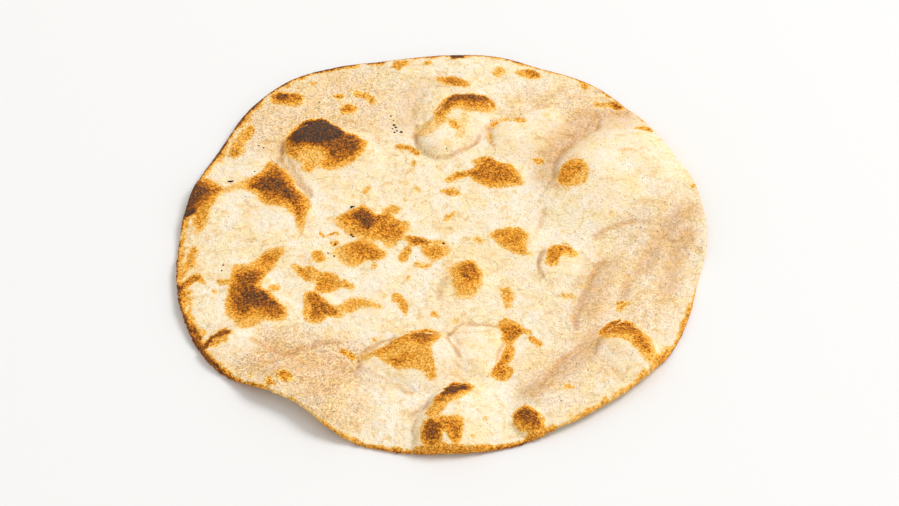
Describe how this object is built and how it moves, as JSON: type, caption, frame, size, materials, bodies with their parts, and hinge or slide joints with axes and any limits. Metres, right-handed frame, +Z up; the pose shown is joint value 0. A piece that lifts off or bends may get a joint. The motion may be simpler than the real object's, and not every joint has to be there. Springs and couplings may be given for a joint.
{
  "type": "tandoor-baked roti",
  "caption": "Round wholemeal flatbread, thin and wavy, with raised scorched blisters and a toasted rim. It rests flat on its underside.",
  "frame": {"origin": "on the table, under the middle of the bread's box", "axes": "+Z up, out of the blistered side; +X to the right and -Y towards the picture's viewer"},
  "size_m": [0.2562, 0.263, 0.0166],
  "materials": {
    "crust": "dry matte toasted wholemeal crust with brown scorch marks"
  },
  "bodies": {
    "root": {"roti": "crust"}
  },
  "joints": []
}
